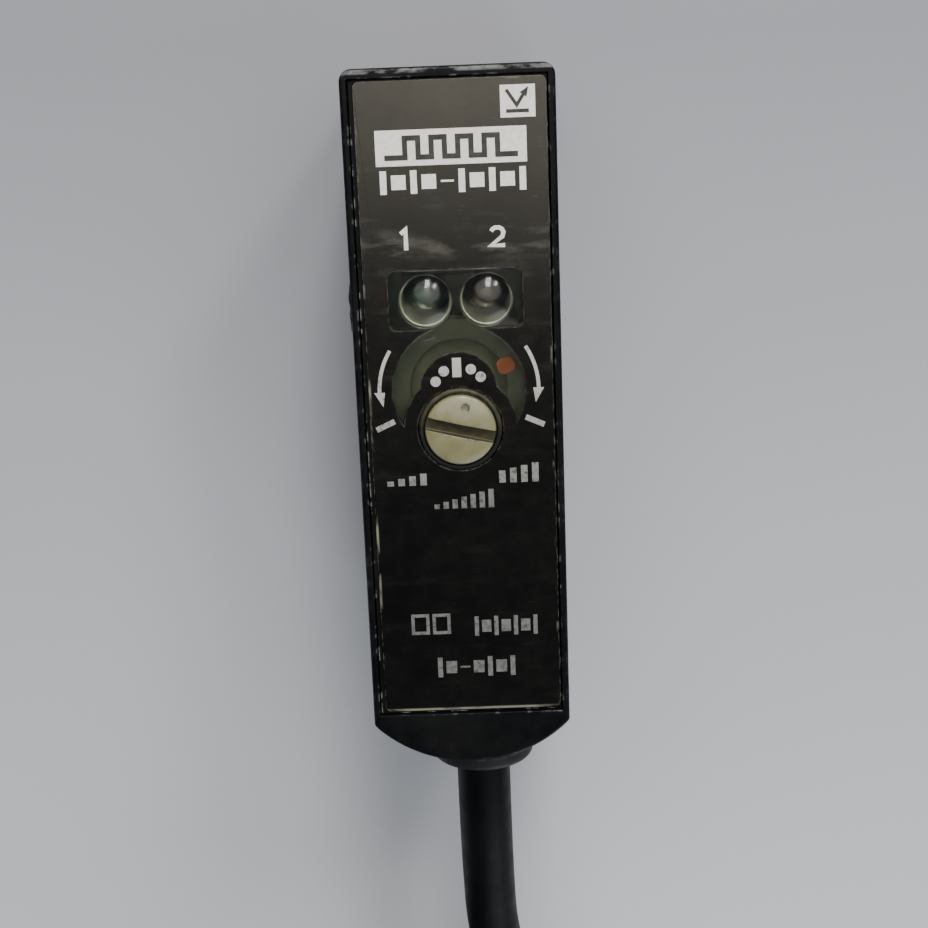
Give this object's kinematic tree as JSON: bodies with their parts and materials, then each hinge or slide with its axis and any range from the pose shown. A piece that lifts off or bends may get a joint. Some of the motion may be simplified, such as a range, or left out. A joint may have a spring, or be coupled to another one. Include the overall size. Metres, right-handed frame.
{
  "type": "photoelectric sensor",
  "caption": "Slim pre-wired photoelectric sensor: black case, lens end, label panel with indicator lamps, a slotted adjuster geared to a pointer dial, and a cable tied in a hank.",
  "frame": {"origin": "centre of the footprint of the case and its cable gland, on the back face it lies on", "axes": "+Z out of the operating panel, -Y out of the lens face, +Y along the cable exit, X across the narrow width"},
  "size_m": [0.0459, 0.1937, 0.0336],
  "materials": {
    "housing_plastic": "moulded black PBT, fine grain, worn edges",
    "panel_film": "dark brown-black polyester film with off-white print",
    "window_tinted": "clear olive-tinted polycarbonate",
    "knob_cream": "cream acetal, satin",
    "seal_rubber": "olive-grey rubber",
    "black_rubber": "matt black rubber",
    "dark_nylon": "black nylon",
    "dial_grey": "grey-green acetal",
    "pointer_orange": "orange paint on acetal",
    "natural_plastic": "natural off-white nylon",
    "plated_steel": "nickel-plated steel",
    "brass": "bare brass",
    "bright_metal": "bright plated metal",
    "circuit_board": "green solder resist on glass-epoxy",
    "component_black": "black epoxy moulding",
    "component_ceramic": "cream epoxy coating",
    "capacitor_can": "aluminium can in a blue sleeve",
    "lamp_green": "green lamp epoxy, unlit",
    "lamp_red": "dark red lamp epoxy, unlit",
    "lens_clear": "clear acrylic",
    "lens_smoked": "smoked dark red acrylic",
    "cable_jacket": "black PVC jacket, satin",
    "core_brown": "brown PVC insulation",
    "core_blue": "blue PVC insulation",
    "core_black": "black PVC insulation",
    "core_pink": "pink PVC insulation"
  },
  "bodies": {
    "sensor_body": {"housing": "housing_plastic", "mounting_sleeve_1": "plated_steel", "mounting_sleeve_2": "plated_steel", "top_cover": "housing_plastic", "label_film": "panel_film", "indicator_window": "window_tinted", "cover_gasket": "black_rubber", "knob_o_ring": "seal_rubber", "dial_carrier": "dark_nylon", "trimmer_body": "natural_plastic", "stability_led": "lamp_green", "stability_reflector": "bright_metal", "output_led": "lamp_red", "output_reflector": "bright_metal", "led_holder": "dark_nylon", "lens_cover": "lens_smoked", "lens_gasket": "black_rubber", "emitter_lens": "lens_clear", "receiver_lens": "lens_clear", "lens_holder": "dark_nylon", "emitter_led": "lens_clear", "receiver_photodiode": "component_black", "optics_board": "circuit_board", "receiver_shield": "bright_metal", "indicator_board": "circuit_board", "main_board": "circuit_board", "board_header": "dark_nylon", "control_ic": "component_black", "amplifier_ic": "component_black", "output_transistor": "component_black", "smoothing_capacitor": "capacitor_can", "surge_suppressor": "component_ceramic", "cable_gland": "black_rubber", "cable_jacket_end": "cable_jacket", "cable_clamp": "plated_steel", "inner_core_brown": "core_brown", "inner_core_blue": "core_blue", "inner_core_black": "core_black", "inner_core_pink": "core_pink", "cable_lead": "cable_jacket", "cable_hank": "cable_jacket", "hank_tie_1": "natural_plastic", "hank_tie_2": "natural_plastic", "core_tail_brown": "core_brown", "core_tail_blue": "core_blue", "core_tail_black": "core_black", "core_tail_pink": "core_pink"},
    "adjuster": {"adjuster_knob": "knob_cream", "pinion_shaft": "dark_nylon", "retaining_ring": "plated_steel"},
    "dial": {"indicator_dial": "dial_grey", "dial_face": "dial_grey", "dial_pointer": "pointer_orange", "trimmer_rotor": "brass"}
  },
  "joints": [
    {"name": "adjuster_turn", "type": "hinge", "parent": "sensor_body", "child": "adjuster", "pos_m": [0, -0.00285, 0.0325], "axis": [0, 0, -1], "range_deg": [-574.4, 145.6]},
    {"name": "indicator_dial_turn", "type": "hinge", "parent": "sensor_body", "child": "dial", "pos_m": [0, -0.00615, 0.0305], "axis": [0, 0, -1], "range_deg": [-179.6, 45.6]}
  ],
  "couplings": [
    {"joint": "indicator_dial_turn", "follows": "adjuster_turn", "ratio": 0.3125}
  ]
}
